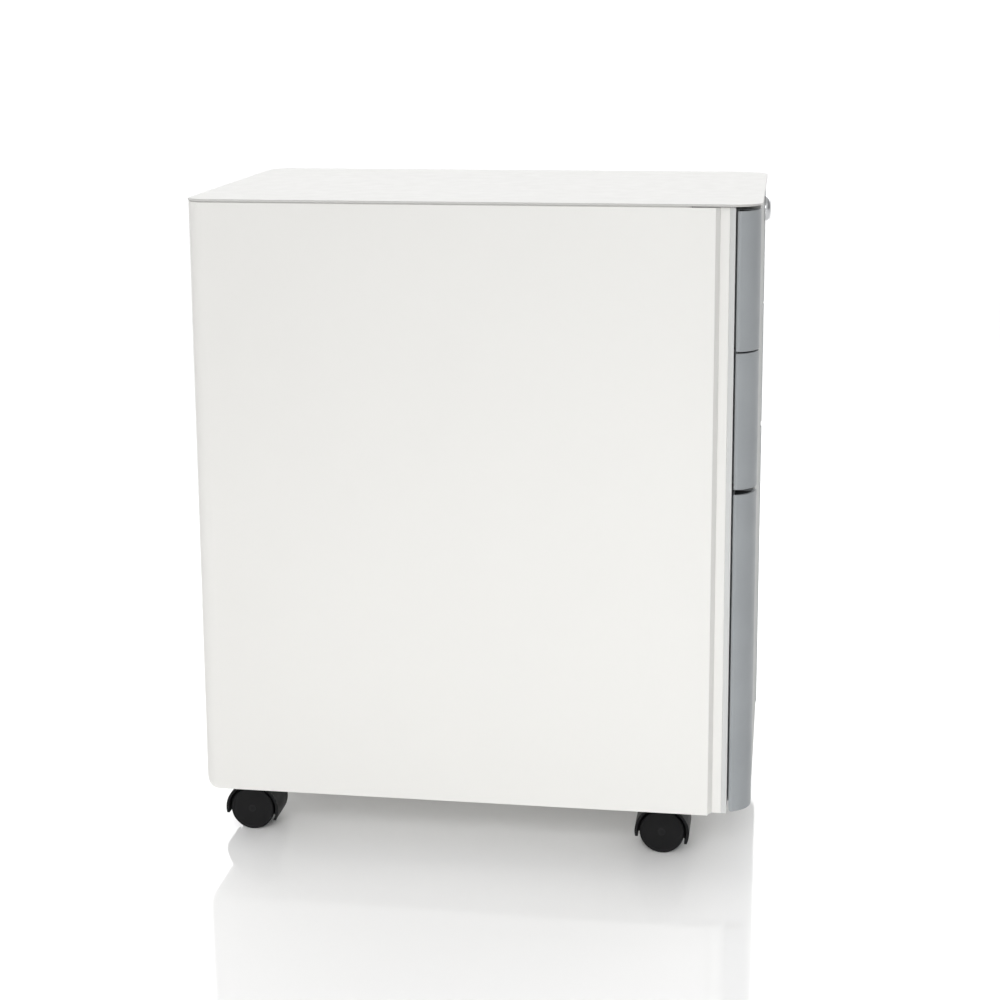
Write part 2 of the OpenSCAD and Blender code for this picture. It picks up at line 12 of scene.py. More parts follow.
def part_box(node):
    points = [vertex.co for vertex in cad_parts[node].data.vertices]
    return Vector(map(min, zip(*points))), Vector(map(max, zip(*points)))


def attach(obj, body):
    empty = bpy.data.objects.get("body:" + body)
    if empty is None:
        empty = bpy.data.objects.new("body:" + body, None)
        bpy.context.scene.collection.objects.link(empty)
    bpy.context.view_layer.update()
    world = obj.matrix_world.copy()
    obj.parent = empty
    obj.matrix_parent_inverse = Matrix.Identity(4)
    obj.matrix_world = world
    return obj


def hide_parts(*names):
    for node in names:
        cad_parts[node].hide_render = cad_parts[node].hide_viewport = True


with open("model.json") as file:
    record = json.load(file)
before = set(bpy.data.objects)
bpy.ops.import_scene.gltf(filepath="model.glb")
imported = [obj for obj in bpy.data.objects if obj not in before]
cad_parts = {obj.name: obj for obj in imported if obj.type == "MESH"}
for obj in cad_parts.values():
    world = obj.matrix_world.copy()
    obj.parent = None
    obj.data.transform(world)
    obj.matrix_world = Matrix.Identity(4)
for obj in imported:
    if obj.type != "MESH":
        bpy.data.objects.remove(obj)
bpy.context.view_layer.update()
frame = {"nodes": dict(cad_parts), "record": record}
MM = 0.001
DRAWERS = ("top", "middle", "file")
CASTERS = [f"caster_{row}_{side}" for row in ("front", "rear") for side in ("left", "right")]
BODY_OF = {n: b for b, ns in frame["record"]["behaviour"]["bodies"].items() for n in ns}
SLOT_OF = {s["node"]: s["material_slot"] for s in frame["record"]["subparts"]}


def mm_box(node):
    """Lowest and highest corner of a CAD node, in millimetres."""
    lo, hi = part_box(node)
    return lo / MM, hi / MM


# ---------------------------------------------------------------- materials

def node_material(name, base, roughness, metallic=0.0, ior=1.5, specular=0.5):
    """A Principled material, with its node tree, its shader and the object coordinates."""
    mat = bpy.data.materials.new(name)
    mat.use_nodes = True
    tree = mat.node_tree
    shader = tree.nodes["Principled BSDF"]
    shader.inputs["Base Color"].default_value = (*base, 1)
    shader.inputs["Roughness"].default_value = roughness
    shader.inputs["Metallic"].default_value = metallic
    shader.inputs["IOR"].default_value = ior
    shader.inputs["Specular IOR Level"].default_value = specular
    coords = tree.nodes.new("ShaderNodeTexCoord").outputs["Object"]
    return mat, tree, shader, coords


def noise(tree, vector, scale, detail=2.0, roughness=0.5):
    """Smooth noise from 0 to 1; scale is in cells per metre."""
    n = tree.nodes.new("ShaderNodeTexNoise")
    n.inputs["Scale"].default_value = scale
    n.inputs["Detail"].default_value = detail
    n.inputs["Roughness"].default_value = roughness
    tree.links.new(vector, n.inputs["Vector"])
    return n.outputs["Fac"]


def remap(tree, value, lo, hi, out_lo, out_hi):
    """value, with lo to hi stretched to out_lo to out_hi and held at both ends."""
    n = tree.nodes.new("ShaderNodeMapRange")
    n.inputs["From Min"].default_value = lo
    n.inputs["From Max"].default_value = hi
    n.inputs["To Min"].default_value = out_lo
    n.inputs["To Max"].default_value = out_hi
    tree.links.new(value, n.inputs["Value"])
    return n.outputs["Result"]


def mix(tree, factor, a, b):
    """Colour a at factor 0 and b at factor 1; each is a tuple or a socket."""
    n = tree.nodes.new("ShaderNodeMix")
    n.data_type = "RGBA"
    for key, value in (("A", a), ("B", b)):
        socket = next(s for s in n.inputs if s.name == key and s.type == "RGBA")
        if isinstance(value, tuple):
            socket.default_value = (*value, 1)
        else:
            tree.links.new(value, socket)
    tree.links.new(factor, n.inputs[0])
    return next(s for s in n.outputs if s.type == "RGBA")


def bump(tree, shader, height, distance, strength=1.0, under=None):
    """Bumps of a depth in metres, on top of the normals of an earlier bump if there is one."""
    n = tree.nodes.new("ShaderNodeBump")
    n.inputs["Distance"].default_value = distance
    n.inputs["Strength"].default_value = strength
    tree.links.new(height, n.inputs["Height"])
    if under is not None:
        tree.links.new(under, n.inputs["Normal"])
    tree.links.new(n.outputs["Normal"], shader.inputs["Normal"])
    return n.outputs["Normal"]


def edge_mask(tree, lo=0.53, hi=0.62):
    """1 on convex edges, 0 on flat faces."""
    geometry = tree.nodes.new("ShaderNodeNewGeometry")
    return remap(tree, geometry.outputs["Pointiness"], lo, hi, 0.0, 1.0)


def powder_coat(name, base, worn, rough=0.4, specular=0.3, peel_depth=0.00006):
    """Satin powder coat: fine orange peel, a slow drift in tone, coat a little thinner on the edges."""
    mat, tree, shader, coords = node_material(name, base, rough, specular=specular)
    drift = remap(tree, noise(tree, coords, 5.0, 3.0), 0.35, 0.65, 0.0, 1.0)
    tone = mix(tree, drift, base, tuple(c * 0.985 for c in base))
    tree.links.new(mix(tree, edge_mask(tree), tone, worn), shader.inputs["Base Color"])
    cloud = noise(tree, coords, 60.0)
    tree.links.new(remap(tree, cloud, 0.3, 0.7, rough - 0.04, rough + 0.04), shader.inputs["Roughness"])
    peel = bump(tree, shader, noise(tree, coords, 420.0, 1.5), peel_depth, 0.5)
    bump(tree, shader, noise(tree, coords, 1900.0, 1.0), peel_depth / 3, 0.5, under=peel)
    return mat


def moulded(name, base, rough, grain_scale, grain_depth, light, specular=0.5):
    """Moulded plastic: leather-fine grain, faint flow tone, paler rubbed edges."""
    mat, tree, shader, coords = node_material(name, base, rough, specular=specular)
    drift = remap(tree, noise(tree, coords, 22.0, 3.0), 0.35, 0.65, 0.0, 1.0)
    tone = mix(tree, drift, base, tuple(c * 0.94 for c in base))
    speck = remap(tree, noise(tree, coords, 2600.0, 1.0), 0.55, 0.8, 0.0, 0.35)
    tone = mix(tree, speck, tone, tuple(min(1.0, c * 1.22) for c in base))
    tree.links.new(mix(tree, edge_mask(tree, 0.54, 0.66), tone, light), shader.inputs["Base Color"])
    rub = noise(tree, coords, 90.0, 4.0)
    tree.links.new(remap(tree, rub, 0.3, 0.7, rough - 0.05, rough + 0.06), shader.inputs["Roughness"])
    bump(tree, shader, noise(tree, coords, grain_scale, 3.0, 0.6), grain_depth)
    return mat


def plated(name, base, rough, spangle):
    """Zinc plate: spangle patches, drawing lines along the part and dull handling marks."""
    mat, tree, shader, coords = node_material(name, base, rough, metallic=1.0)
    cells = tree.nodes.new("ShaderNodeTexVoronoi")
    cells.inputs["Scale"].default_value = spangle
    tree.links.new(coords, cells.inputs["Vector"])
    patch = remap(tree, cells.outputs["Distance"], 0.0, 0.9, 0.0, 1.0)
    tone = mix(tree, patch, base, tuple(c * 0.86 for c in base))
    tree.links.new(tone, shader.inputs["Base Color"])
    stretch = tree.nodes.new("ShaderNodeMapping")
    stretch.inputs["Scale"].default_value = (1.0, 0.03, 1.0)
    tree.links.new(coords, stretch.inputs["Vector"])
    lines = noise(tree, stretch.outputs["Vector"], 1500.0, 2.0)
    tree.links.new(remap(tree, lines, 0.3, 0.7, rough - 0.07, rough + 0.1), shader.inputs["Roughness"])
    bump(tree, shader, lines, 0.00002, 0.6)
    return mat


def polished(name, base, rough):
    """Chrome: mirror bright with faint wiping marks."""
    mat, tree, shader, coords = node_material(name, base, rough, metallic=1.0)
    wipe = noise(tree, coords, 260.0, 4.0)
    tree.links.new(remap(tree, wipe, 0.35, 0.75, rough, rough + 0.09), shader.inputs["Roughness"])
    tone = mix(tree, remap(tree, wipe, 0.4, 0.8, 0.0, 1.0), base, tuple(c * 0.93 for c in base))
    tree.links.new(tone, shader.inputs["Base Color"])
    bump(tree, shader, noise(tree, coords, 700.0, 1.0), 0.000006, 0.5)
    return mat


MATERIALS = {
    "white_paint": powder_coat("white_paint", (0.775, 0.768, 0.744), (0.82, 0.815, 0.79)),
    # The top plate: the shell's white paint, made a shade darker as painted shade to offset the light
    # falling straight on its top.
    "plate_paint_painted_shade": powder_coat("plate_paint_painted_shade", (0.585, 0.58, 0.563), (0.64, 0.634, 0.615),
                               rough=0.34, specular=0.2, peel_depth=0.000005),
    "front_paint": powder_coat("front_paint", (0.58, 0.588, 0.58), (0.64, 0.645, 0.64),
                               rough=0.6, specular=0.05),
    "grip_plastic": moulded("grip_plastic", (0.330, 0.349, 0.363), 0.42, 1500.0, 0.00003,
                            (0.40, 0.415, 0.43)),
    "insert_plastic": moulded("insert_plastic", (0.022, 0.022, 0.024), 0.5, 900.0, 0.00006,
                              (0.05, 0.05, 0.052)),
    "caster_plastic": moulded("caster_plastic", (0.007, 0.007, 0.0075), 0.55, 1100.0, 0.00006,
                              (0.02, 0.02, 0.021), specular=0.2),
    "wheel_plastic": moulded("wheel_plastic", (0.006, 0.006, 0.0065), 0.5, 1400.0, 0.00004,
                             (0.018, 0.018, 0.019), specular=0.18),
    "zinc_steel": plated("zinc_steel", (0.60, 0.61, 0.62), 0.33, 260.0),
    "lock_chrome": polished("lock_chrome", (0.62, 0.63, 0.64), 0.08),
    "cast_ballast": powder_coat("cast_ballast", (0.055, 0.055, 0.058), (0.12, 0.12, 0.12)),
}

# ---------------------------------------------------------------- mesh tools


def new_piece(name, bm, body, slot, replaced=(), sharp_deg=38.0, finish=None):
    """Turns a bmesh in millimetres into a named piece on a body; a finish stands in for its slot's."""
    bmesh.ops.remove_doubles(bm, verts=bm.verts, dist=1e-4)
    bmesh.ops.recalc_face_normals(bm, faces=bm.faces)
    bmesh.ops.scale(bm, vec=(MM, MM, MM), verts=bm.verts)
    bm.normal_update()
    for f in bm.faces:
        f.smooth = True
    for e in bm.edges:
        e.smooth = len(e.link_faces) == 2 and e.calc_face_angle(0.0) < math.radians(sharp_deg)
    mesh = bpy.data.meshes.new(name)
    bm.to_mesh(mesh)
    bm.free()
    ob = bpy.data.objects.new(name, mesh)
    bpy.context.scene.collection.objects.link(ob)
    mesh.materials.append(MATERIALS[finish or slot])
    mod = ob.modifiers.new("flat_faces_stay_flat", "WEIGHTED_NORMAL")
    mod.keep_sharp = True
    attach(ob, body)
    if replaced:
        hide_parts(*replaced)


def node_bmesh(node):
    """The CAD node's mesh in millimetres, with its coplanar triangles joined."""
    bm = bmesh.new()
    bm.from_mesh(frame["nodes"][node].data)
    bmesh.ops.scale(bm, vec=(1 / MM,) * 3, verts=bm.verts)
    bmesh.ops.remove_doubles(bm, verts=bm.verts, dist=1e-3)
    bmesh.ops.dissolve_limit(bm, angle_limit=math.radians(0.6), verts=bm.verts, edges=bm.edges)
    return bm


def bevelled(bm, width, segments=3, keep=None, least_deg=50.0):
    """Rounds the convex and concave edges whose midpoints keep() picks."""
    bm.normal_update()
    chosen = [e for e in bm.edges if len(e.link_faces) == 2
              and e.calc_face_angle(0.0) > math.radians(least_deg)
              and (keep is None or keep((e.verts[0].co + e.verts[1].co) / 2))]
    bmesh.ops.bevel(bm, geom=chosen, offset=width, segments=segments, profile=0.5,
                    affect="EDGES", clamp_overlap=True, loop_slide=True)
    return bm


def refined(node, width, segments, least_deg=50.0):
    """The CAD node again with rounded edges."""
    bm = bevelled(node_bmesh(node), width, segments, least_deg=least_deg)
    new_piece(node + "_detailed", bm, BODY_OF[node], SLOT_OF[node], (node,))


def arc(cx, cy, r, a0, a1, n):
    """Points of an arc, angles in degrees, both ends included."""
    return [(cx + r * math.cos(math.radians(a0 + (a1 - a0) * i / n)),
             cy + r * math.sin(math.radians(a0 + (a1 - a0) * i / n))) for i in range(n + 1)]


def offset_loop(points, d):
    """A closed counter-clockwise loop moved inwards by d."""
    out = []
    n = len(points)
    for i in range(n):
        (x0, y0), (x1, y1), (x2, y2) = points[i - 1], points[i], points[(i + 1) % n]
        n1 = Vector((-(y1 - y0), x1 - x0)).normalized()
        n2 = Vector((-(y2 - y1), x2 - x1)).normalized()
        m = (n1 + n2).normalized()
        k = d / max(0.35, m.dot(n1))
        out.append((x1 + m.x * k, y1 + m.y * k))
    return out


def loft(bm, rings, cap_ends=True):
    """Faces between rings of equally many points; caps close both ends."""
    rows = [[bm.verts.new(p) for p in ring] for ring in rings]
    n = len(rows[0])
    for a, b in zip(rows, rows[1:]):
        for i in range(n):
            j = (i + 1) % n
            bm.faces.new((a[i], a[j], b[j], b[i]))
    if cap_ends:
        bm.faces.new(list(reversed(rows[0])))
        bm.faces.new(rows[-1])


def slab(bm, outline, z0, z1, r, steps=4):
    """A counter-clockwise outline extruded from z0 to z1, its rims rounded by r."""
    rings = []
    for k in range(steps + 1):
        a = math.pi / 2 * k / steps
        rings.append((r * (1 - math.sin(a)), z0 + r * (1 - math.cos(a))))
    rings += [(d, z0 + z1 - z) for d, z in reversed(rings)]
    loft(bm, [[(x, y, z) for x, y in offset_loop(outline, d)] for d, z in rings])


def lathe(bm, profile, origin, axis, n=64, cap_ends=True):
    """Revolves (radius, height) points about an axis; height runs along it from origin."""
    turn = Vector((0, 0, 1)).rotation_difference(Vector(axis)).to_matrix().to_4x4()
    place = Matrix.Translation(origin) @ turn
    rings = []
    for r, h in profile:
        rings.append([place @ Vector((max(r, 1e-3) * math.cos(math.tau * i / n),
                                      max(r, 1e-3) * math.sin(math.tau * i / n), h)) for i in range(n)])
    loft(bm, rings, cap_ends)


def rounded(profile, radius, steps=4):
    """An open polyline with each inner corner rounded."""
    out = [profile[0]]
    for a, b, c in zip(profile, profile[1:], profile[2:]):
        a, b, c = Vector(a), Vector(b), Vector(c)
        r = min(radius, (a - b).length * 0.45, (c - b).length * 0.45)
        p, q = b + (a - b).normalized() * r, b + (c - b).normalized() * r
        for i in range(steps + 1):
            t = i / steps
            out.append(tuple((1 - t) ** 2 * p + 2 * t * (1 - t) * b + t * t * q))
    return out + [profile[-1]]


def cuboid(bm, lo, hi, bevel=0.0, segments=2):
    """A box between two corners, with rounded edges."""
    made = bmesh.ops.create_cube(bm, size=1.0)["verts"]
    lo, hi = Vector(lo), Vector(hi)
    bmesh.ops.scale(bm, vec=hi - lo, verts=made)
    bmesh.ops.translate(bm, vec=(lo + hi) / 2, verts=made)
    if bevel:
        edges = list({e for v in made for e in v.link_edges})
        bmesh.ops.bevel(bm, geom=edges, offset=bevel, segments=segments, profile=0.5, affect="EDGES")


def strip_outline(path, t):
    """The closed outline of a sheet of thickness t bent along a path, path on its middle line."""
    left, right = [], []
    for i, p in enumerate(path):
        a, b = Vector(path[max(i - 1, 0)]), Vector(path[min(i + 1, len(path) - 1)])
        d = (b - a).normalized()
        n = Vector((-d.y, d.x)) * (t / 2)
        left.append((p[0] + n.x, p[1] + n.y))
        right.append((p[0] - n.x, p[1] - n.y))
    return left + right[::-1]


def extrude_y(bm, outline_xz, y0, y1):
    """A closed (x, z) outline drawn out along Y."""
    loft(bm, [[(x, y, z) for x, z in outline_xz] for y in (y0, y1)])


def turned_left(points):
    """The same outline, counter-clockwise."""
    area = sum(a[0] * b[1] - b[0] * a[1] for a, b in zip(points, points[1:] + points[:1]))
    return points if area > 0 else points[::-1]


def wrap_outline(half, y_front, y_rear, r, t, n=20):
    """Plan of a thin wall down one side, round the back and up the other side, with round front ends."""
    y_end = y_front + t / 2

    def face(inset):
        corners = arc(half - r, y_rear - r, r - inset, 0, 90, n)
        corners += arc(r - half, y_rear - r, r - inset, 90, 180, n)
        return [(half - inset, y_end)] + corners + [(inset - half, y_end)]

    left_end = arc(t / 2 - half, y_end, t / 2, 180, 360, 6)[1:-1]
    right_end = arc(half - t / 2, y_end, t / 2, 180, 360, 6)[1:-1]
    return face(0.0) + left_end + face(t)[::-1] + right_end


# ---------------------------------------------------------------- carcass

SHEET, FRAME_SHEET, PLATE_T = 1.0, 1.2, 2.0
REAR_R, FRONT_R, HEEL_R = 18.0, 25.0, 12.0
SKIRT_SETBACK = 21.0
plate_lo, plate_hi = mm_box("top_plate")
shell_lo, shell_hi = mm_box("outer_shell")
shell_half, shell_front = shell_hi.x, shell_lo.y
shell_r = REAR_R - (plate_hi.x - shell_half)


def make_shell():
    """The wrapped sheet, its lower edge swept up round the heel."""
    bm = bmesh.new()
    outline = wrap_outline(shell_half, shell_front, shell_hi.y, shell_r, SHEET)
    slab(bm, outline, shell_lo.z, shell_hi.z, 0.38)
    half_way_up = (shell_lo.z + shell_hi.z) / 2
    for v in bm.verts:
        beyond = max(0.0, v.co.y - (shell_hi.y - HEEL_R))
        if beyond and v.co.z < half_way_up:
            v.co.z += HEEL_R - math.sqrt(max(0.0, HEEL_R ** 2 - beyond ** 2))
    new_piece("outer_shell_detailed", bm, "cabinet", "white_paint", ("outer_shell",))


def plate_outline(n=24):
    """The top plate in plan, from its front right corner round to its front left one."""
    w, y0, y1 = plate_hi.x, plate_lo.y, plate_hi.y
    points = arc(w - FRONT_R, y0 + FRONT_R, FRONT_R, -90, 0, n)
    points += arc(w - REAR_R, y1 - REAR_R, REAR_R, 0, 90, n)
    points += arc(REAR_R - w, y1 - REAR_R, REAR_R, 90, 180, n)
    return points + arc(FRONT_R - w, y0 + FRONT_R, FRONT_R, 180, 270, n)


def make_plate():
    """The top plate and, under it, the skirt that the shell fits round."""
    bm = bmesh.new()
    slab(bm, plate_outline(), plate_hi.z - PLATE_T, plate_hi.z, 0.9, 5)
    skirt = wrap_outline(shell_half - SHEET, shell_front + SKIRT_SETBACK, shell_hi.y - SHEET,
                         shell_r - SHEET, SHEET)
    slab(bm, skirt, plate_lo.z, plate_hi.z - PLATE_T + 0.2, 0.2)
    # The plate takes the white paint darkened as painted shade, against the light falling straight on its
    # top.
    new_piece("top_plate_detailed", bm, "cabinet", "white_paint", ("top_plate",), finish="plate_paint_painted_shade")


make_shell()
make_plate()
for name, width in (("edge_returns", 0.5), ("front_posts", 0.5), ("post_lips", 0.2),
                    ("rear_uprights", 0.4), ("base_pan", 0.3), ("front_top_rail", 0.4),
                    ("front_bottom_rail", 0.4), ("ballast_block", 1.5), ("lock_bar_guides", 0.3),
                    ("lock_bar", 0.4), ("lock_cam", 0.4), ("caster_stems", 0.3)):
    refined(name, width, 3)

# ---------------------------------------------------------------- slides

BALL_R, BALL_GAP, BALLS = 0.95, 9.0, 20
RACE = 2.0  # room for the balls between two members
NEST = FRAME_SHEET + RACE
OUTER_REACH, MIDDLE_REACH, INNER_REACH = 8.5, 7.7, 7.3  # from a web's outside to its flanges' tips
OUTER_RIVETS, INNER_RIVETS = (40, 140, 260, 370), (18, 120, 250, 380)
CAGE_NEAR, CAGE_FAR, CAGE_LEN = 119.6, 121.0, 184.0


def member(bm, side, web, tip, half_h, z, y0, y1, t=FRAME_SHEET):
    """One rolled slide member: a web and two flanges, with rounded corners between them."""
    top, x_web = half_h - t / 2, web + t / 2
    path = [(tip, top), (x_web, top), (x_web, -top), (tip, -top)]
    outline = strip_outline(rounded([(side * x, z + h) for x, h in path], 2.2, 5), t)
    extrude_y(bm, outline, y0, y1)


def rivet(bm, x, y, z, side, r, h):
    """A domed rivet head that points to -X where side is 1 and to +X where it is -1."""
    lathe(bm, [(0, 0), (r, 0), (r, h * 0.4), (r * 0.8, h * 0.85), (r * 0.4, h), (0, h)], (x, y, z),
          (-side, 0, 0), 24)


def balls(bm, x, zs, y0):
    """Rows of balls on both sides, at each height in zs, backwards from y0."""
    for i in range(BALLS):
        y = y0 + BALL_GAP * i
        for z in zs:
            for side in (-1, 1):
                bmesh.ops.create_icosphere(bm, subdivisions=1, radius=BALL_R,
                                           matrix=Matrix.Translation((side * x, y, z)))


def make_slides():
    """Every drawer's three members a side, with their rivets, balls and cage strips."""
    outer = bmesh.new()
    out_lo, out_hi = mm_box("cabinet_slide_members")
    out_web = out_hi.x - FRAME_SHEET
    for d in DRAWERS:
        lo, hi = mm_box(d + "_slide_middle")
        in_lo, in_hi = mm_box(d + "_slide_inner")
        in_web = in_hi.x - INNER_REACH
        z, half_mid = (lo.z + hi.z) / 2, (hi.z - lo.z) / 2
        cage_z = z - half_mid + 3.5
        middle, inner = bmesh.new(), bmesh.new()
        for side in (-1, 1):
            member(outer, side, out_web, out_hi.x - OUTER_REACH, half_mid + NEST, z, out_lo.y, out_hi.y)
            member(middle, side, hi.x - FRAME_SHEET, hi.x - MIDDLE_REACH, half_mid, z, lo.y, hi.y)
            member(inner, side, in_web, in_hi.x, half_mid - NEST, z, in_lo.y, in_hi.y)
            for k in OUTER_RIVETS:
                rivet(outer, side * out_web, out_lo.y + k, z, side, 3.2, 1.0)
            for k in INNER_RIVETS:
                rivet(inner, side * (in_web + FRAME_SHEET), in_lo.y + k, z, -side, 2.8, 0.9)
            x0, x1 = sorted((side * CAGE_NEAR, side * CAGE_FAR))
            cuboid(middle, (x0, lo.y + 6, cage_z), (x1, lo.y + 6 + CAGE_LEN, cage_z + 0.6), 0.1, 1)
        over, under = half_mid + RACE / 2, half_mid - FRAME_SHEET - RACE / 2
        balls(middle, hi.x - 2.4, (z - over, z + over), lo.y + 205)
        balls(middle, in_hi.x - 2.4, (z - under, z + under), lo.y + 8)
        new_piece(d + "_slide_middle_detailed", middle, d + "_slides", "zinc_steel", (d + "_slide_middle",))
        new_piece(d + "_slide_inner_detailed", inner, d + "_drawer", "zinc_steel", (d + "_slide_inner",))
    new_piece("cabinet_slide_members_detailed", outer, "cabinet", "zinc_steel", ("cabinet_slide_members",))


make_slides()

# ---------------------------------------------------------------- drawers

GRIP_R, GRIP_WALL, GRIP_FLANGE = 24.0, 2.8, 2.5
GRIP_BACK = 18.5  # from the shell's front edge to the grips' rear edge
GRIP_ROLL, GRIP_TUCK, GRIP_EDGE_R = 2.6, 0.5, 0.8
CAP_T, CAP_SINK = 1.6, 1.3
RIBS_X, RIB_HALF = (-72, -24, 24, 72), 5


def make_skin(d):
    """A drawer's steel face with rounded edges; the top one has the hole for the lock."""
    node = d + "_drawer_front_skin"
    lo, hi = mm_box(node)

    def outside(p):
        on_side = min(abs(abs(p.x) - hi.x), abs(p.z - lo.z), abs(p.z - hi.z)) < 0.05
        return on_side and p.y < hi.y - 0.1

    def on_hole(p):
        return p.y < lo.y + 0.02 and abs(p.x) < hi.x - 3 and lo.z + 3 < p.z < hi.z - 3

    bm = bevelled(node_bmesh(node), 1.5, 5, outside)
    bevelled(bm, 0.35, 2, on_hole)
    new_piece(node + "_detailed", bm, d + "_drawer", "front_paint", (node,))


def grip_profile(cx, cy, x_flange, y_back, y_rear, n=26):
    """Right grip's closed section: quarter round, rolled back lip, inner face, flange beside the skin."""
    a_end = math.degrees(math.asin((y_back - cy) / GRIP_R))
    a_roll, a_tuck = (a_end - math.degrees(k / GRIP_R) for k in (GRIP_ROLL, GRIP_TUCK))
    outer = arc(cx, cy, GRIP_R, -90, a_roll, n)
    inner = arc(cx, cy, GRIP_R - GRIP_WALL, a_tuck, -84, n)
    a = math.radians(a_roll)
    mx, my = cx + (GRIP_R - GRIP_ROLL) * math.cos(a), cy + (GRIP_R - GRIP_ROLL) * math.sin(a)
    round_lip = arc(mx, my, GRIP_ROLL, a_roll + 9, a_roll + 90, 9)
    y_edge = cy - GRIP_R + GRIP_EDGE_R
    foot = [(cx, y_rear), (x_flange, y_rear), (x_flange, y_edge)]
    return outer + round_lip + inner + foot + arc(x_flange + GRIP_EDGE_R, y_edge, GRIP_EDGE_R, 180, 270, 4)


def make_grips(d):
    """Both grip strips of a drawer, with caps sunk in their ends, black as painted shade for the dark
    hollow in the gaps between the drawers.
    """
    node = d + "_drawer_grips"
    lo, hi = mm_box(node)
    skin_half = mm_box(d + "_drawer_front_skin")[1].x
    cx, cy, y_back = skin_half + GRIP_FLANGE, lo.y + GRIP_R, shell_front - GRIP_BACK
    section = grip_profile(cx, cy, skin_half, y_back, hi.y)
    cap = arc(cx, cy, GRIP_R - GRIP_WALL + 0.3, -90, -16, 18)
    cap += [(cap[-1][0] - 2, y_back - 0.1), (cx - 0.5, y_back - 0.1)]
    grips, caps = bmesh.new(), bmesh.new()
    for side in (-1, 1):
        slab(grips, turned_left([(side * x, y) for x, y in section]), lo.z, hi.z, 0.45, 3)
        for z in (lo.z + CAP_SINK, hi.z - CAP_SINK - CAP_T):
            slab(caps, turned_left([(side * x, y) for x, y in cap]), z, z + CAP_T, 0.1, 1)
    # The caps are black to paint the shade in the gaps between the drawers' grips.
    new_piece(d + "_drawer_grip_caps_painted_shade", caps, d + "_drawer", "insert_plastic")
    new_piece(node + "_detailed", grips, d + "_drawer", "grip_plastic", (node,))


def make_tray(d):
    """The steel tray with pressed ribs in its floor and a bead along each side."""
    node = d + "_drawer_tray"
    lo, hi = mm_box(node)
    bm = bevelled(node_bmesh(node), 0.45, 3)
    for x in RIBS_X:
        cuboid(bm, (x - RIB_HALF, lo.y + 150, lo.z + 0.4), (x + RIB_HALF, hi.y - 30, lo.z + 2.1), 0.9, 3)
    for side in (-1, 1):
        x0, x1 = sorted((side * (hi.x - 1.7), side * (hi.x - 0.4)))
        cuboid(bm, (x0, lo.y + 25, lo.z + 14), (x1, hi.y - 25, lo.z + 19), 0.6, 2)
    new_piece(node + "_detailed", bm, d + "_drawer", "white_paint", (node,))


for d in DRAWERS:
    make_skin(d)
    make_grips(d)
    make_tray(d)
    refined(d + "_drawer_front_pan", 0.4, 3)
    refined(d + "_drawer_screws", 0.2, 2)
    refined(d + "_drawer_catch", 0.4, 3)
refined("pencil_tray", 0.9, 4)
refined("hanging_file_rails", 0.5, 3)

# ---------------------------------------------------------------- lock


def make_lock():
    """Head with a well rounded edge, a neck through the drawer's front, the barrel, and the plug."""
    lo, hi = mm_box("lock_housing")
    x, z = (lo.x + hi.x) / 2, (lo.z + hi.z) / 2
    head_r, length = (hi.x - lo.x) / 2, hi.y - lo.y
    bore, edge, neck, barrel = 5.55, 5.0, 11.8, 9.5
    shoulder = 30.8  # from the head's face to where the neck seats against the rail
    profile = [(bore, length), (bore, 0.5), (bore + 0.07, 0.2), (bore + 0.25, 0.05)]
    profile += arc(head_r - edge, edge, edge, -90, 0, 18) + [(head_r, 6.6), (neck, 7.0)]
    profile += [(neck, shoulder - 0.2), (neck - 0.2, shoulder), (barrel, shoulder)]
    profile += [(barrel, length - 0.4), (barrel - 0.4, length), (bore, length)]
    bm = bmesh.new()
    lathe(bm, profile, (x, lo.y, z), (0, 1, 0), 96, cap_ends=False)
    new_piece("lock_housing_detailed", bm, "cabinet", "lock_chrome", ("lock_housing",), sharp_deg=50)
    refined("lock_plug", 0.25, 2)


make_lock()

# ---------------------------------------------------------------- casters


def make_wheel(node):
    """From its bore over the inner face, round the tread, and over the dished outer face to the middle."""
    lo, hi = mm_box(node)
    outward = 1 if node.endswith("outer") == ("right" in node) else -1
    r, w = (hi.z - lo.z) / 2, hi.x - lo.x
    start = lo.x if outward > 0 else hi.x
    y, z = (lo.y + hi.y) / 2, (lo.z + hi.z) / 2
    profile = [(2.55, 0.0), (5.0, 0.0), (5.2, 0.6), (r - 3.2, 0.6), (r - 2.9, 0.05)]
    profile += arc(r - 1.2, 1.2, 1.2, -90, 0, 6) + [(r - 0.02, w / 2)]
    profile += arc(r - 1.6, w - 1.6, 1.6, 0, 90, 6)
    profile += [(r - 2.2, w - 0.02), (r - 2.5, w - 0.1), (r - 2.7, w - 0.27), (r - 3.1, w - 0.3)]
    profile += [(4.2, w - 0.3), (3.9, w - 0.26), (3.6, w - 0.14), (3.2, w - 0.1), (0.0, w - 0.08)]
    bm = bmesh.new()
    lathe(bm, profile, (start, y, z), (outward, 0, 0), 96)
    new_piece(node + "_detailed", bm, node, "wheel_plastic", (node,), sharp_deg=45)


for c in CASTERS:
    refined(c + "_hood", 0.7, 3, least_deg=30)
    for end in ("outer", "inner"):
        make_wheel(f"{c}_wheel_{end}")
    axle = frame["nodes"][c + "_axle"]
    axle.data.materials.clear()
    axle.data.materials.append(MATERIALS["zinc_steel"])

# ---------------------------------------------------------------- studio

CAMERA_AT = Vector((-1.7382, -0.2650, 0.7552))
YAW, PITCH, ROLL = (math.radians(a) for a in (8.565, 10.265, 0.32))
SENSOR_MM, LENS_MM, SHIFT_UP = 36.0, 69.71, -0.1562
FLOOR_SIZE, FLOOR_DROP = 30.0, 0.0002


